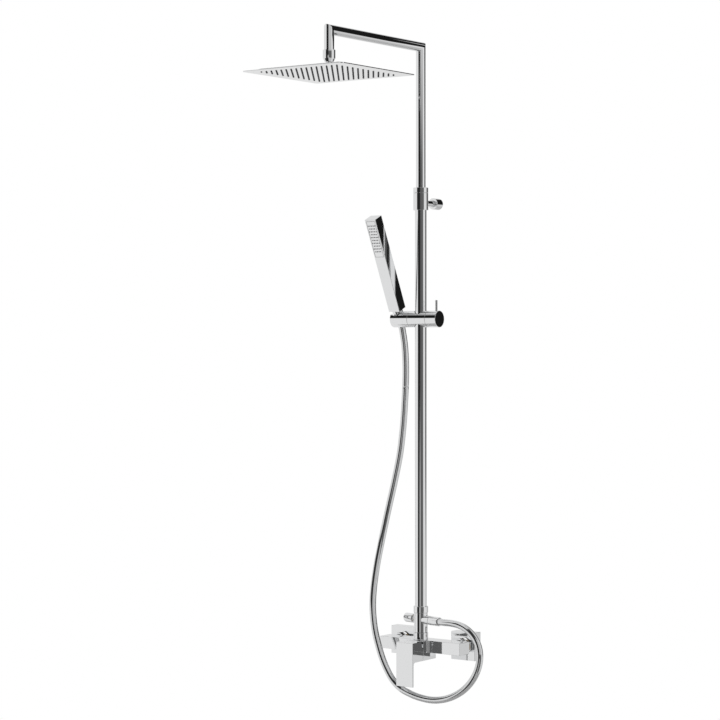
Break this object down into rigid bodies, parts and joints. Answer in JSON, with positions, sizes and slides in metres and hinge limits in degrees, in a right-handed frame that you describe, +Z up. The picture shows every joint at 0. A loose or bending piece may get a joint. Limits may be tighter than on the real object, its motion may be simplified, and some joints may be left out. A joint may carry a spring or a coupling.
{
  "type": "rainfall shower column",
  "caption": "Exposed wall-hung shower column: single-lever mixer bar, diverter, riser with sliding stick-handset holder and hose, telescopic arm and thin square rain head.",
  "frame": {"origin": "on the wall plane, midway between the two water inlets, at the height of the inlet axes", "axes": "+X right as seen by a person facing the wall, +Y into the wall, +Z up along the riser"},
  "size_m": [0.2928, 0.5155, 1.347],
  "materials": {
    "chrome": "polished",
    "brass": "machined",
    "steel": "brushed",
    "black_plastic": "moulded",
    "rubber": "matte",
    "nozzle_silicone": "satin",
    "hose_skin": "metallic silver, glossy"
  },
  "bodies": {
    "column": {"wall_union_left": "brass", "wall_union_right": "brass", "rosette_left": "chrome", "rosette_right": "chrome", "union_nut_left": "chrome", "union_nut_right": "chrome", "inlet_seal_left": "rubber", "inlet_seal_right": "rubber", "mixer_body": "chrome", "cartridge_body": "black_plastic", "cartridge_nut": "brass", "diverter_lower_nut": "chrome", "diverter_seal": "rubber", "diverter_body": "chrome", "diverter_upper_nut": "chrome", "outlet_nipple": "chrome", "hose_nut_lower": "chrome", "shower_hose": "hose_skin", "riser_tube": "chrome", "riser_seal": "rubber", "collar_body": "chrome", "collar_gland": "black_plastic", "post_neck": "chrome", "post_cup": "chrome", "post_disc": "steel", "post_grub_screw": "steel"},
    "lever_swivel_ring": {"spindle_carrier": "black_plastic"},
    "lever": {"lever_handle": "chrome", "lever_insert": "black_plastic", "lever_spindle": "brass", "lever_screw": "steel"},
    "diverter_control": {"diverter_knob": "chrome", "diverter_valve": "brass"},
    "collar_lock": {"lock_ring": "chrome"},
    "slider": {"slider_body": "chrome", "clamp_liner": "black_plastic", "holder_pivot": "steel", "shower_hose_top": "hose_skin"},
    "clamp": {"clamp_knob": "chrome", "knob_pin": "chrome", "clamp_spindle": "brass"},
    "handset_holder": {"holder": "chrome", "holder_insert": "black_plastic"},
    "hose_end": {"hose_nut_upper": "chrome"},
    "handset": {"handset_body": "chrome", "handset_face": "chrome", "handset_nozzle_mat": "nozzle_silicone", "handset_inlet": "brass"},
    "telescope_bush": {"slip_bush": "black_plastic"},
    "overhead_arm": {"arm_tube": "chrome", "head_nut": "chrome", "ball_gasket": "rubber"},
    "head_socket": {"ball_liner": "black_plastic"},
    "head_ball": {"ball_stud": "chrome"},
    "rain_head": {"head_plate": "chrome", "chamber_cover": "chrome", "nozzle_mat": "nozzle_silicone", "head_hub": "chrome"}
  },
  "joints": [
    {"name": "lever_swivel", "type": "hinge", "parent": "column", "child": "lever_swivel_ring", "pos_m": [0, -0.08, -0.0075], "axis": [0, -1, 0], "range_deg": [-45, 45]},
    {"name": "lever_lift", "type": "hinge", "parent": "lever_swivel_ring", "child": "lever", "pos_m": [0, -0.082, -0.0075], "axis": [-1, 0, 0], "range_deg": [0, 18]},
    {"name": "diverter_turn", "type": "hinge", "parent": "column", "child": "diverter_control", "pos_m": [0, -0.0655, 0.054], "axis": [0.9703, -0.2419, 0], "range_deg": [0, 90]},
    {"name": "collar_lock_turn", "type": "hinge", "parent": "column", "child": "collar_lock", "pos_m": [0, -0.0655, 0.935], "axis": [0, 0, 1], "range_deg": [0, 180]},
    {"name": "slider_slide", "type": "slide", "parent": "column", "child": "slider", "axis": [0, 0, 1], "range_m": [-0.3, 0.15], "deforming": ["shower_hose"]},
    {"name": "clamp_turn", "type": "hinge", "parent": "slider", "child": "clamp", "pos_m": [0.033, -0.0655, 0.67065], "axis": [1, 0, 0], "range_deg": [-90, 90]},
    {"name": "holder_tilt", "type": "hinge", "parent": "slider", "child": "handset_holder", "pos_m": [-0.045, -0.0655, 0.67065], "axis": [1, 0, 0], "range_deg": [-25, 45], "deforming": ["shower_hose_top"]},
    {"name": "handset_lift", "type": "slide", "parent": "handset_holder", "child": "hose_end", "axis": [0, -0.4226, 0.9063], "range_m": [0, 0.025]},
    {"name": "handset_twist", "type": "hinge", "parent": "hose_end", "child": "handset", "pos_m": [-0.0524, -0.0655, 0.67065], "axis": [0, -0.4226, 0.9063], "range_deg": [-90, 90]},
    {"name": "telescope_slide", "type": "slide", "parent": "column", "child": "telescope_bush", "axis": [0, 0, 1], "range_m": [-0.15, 0.1]},
    {"name": "arm_swivel", "type": "hinge", "parent": "telescope_bush", "child": "overhead_arm", "pos_m": [0, -0.0655, 0.935], "axis": [0, 0, 1], "range_deg": [-45, 45]},
    {"name": "head_tilt_x", "type": "hinge", "parent": "overhead_arm", "child": "head_socket", "pos_m": [0, -0.3815, 1.1725], "axis": [1, 0, 0], "range_deg": [-12, 12]},
    {"name": "head_tilt_y", "type": "hinge", "parent": "head_socket", "child": "head_ball", "pos_m": [0, -0.3815, 1.1725], "axis": [0, 1, 0], "range_deg": [-12, 12]},
    {"name": "head_spin", "type": "hinge", "parent": "head_ball", "child": "rain_head", "pos_m": [0, -0.3815, 1.1725], "axis": [0, 0, 1], "range_deg": [-45, 45]}
  ]
}
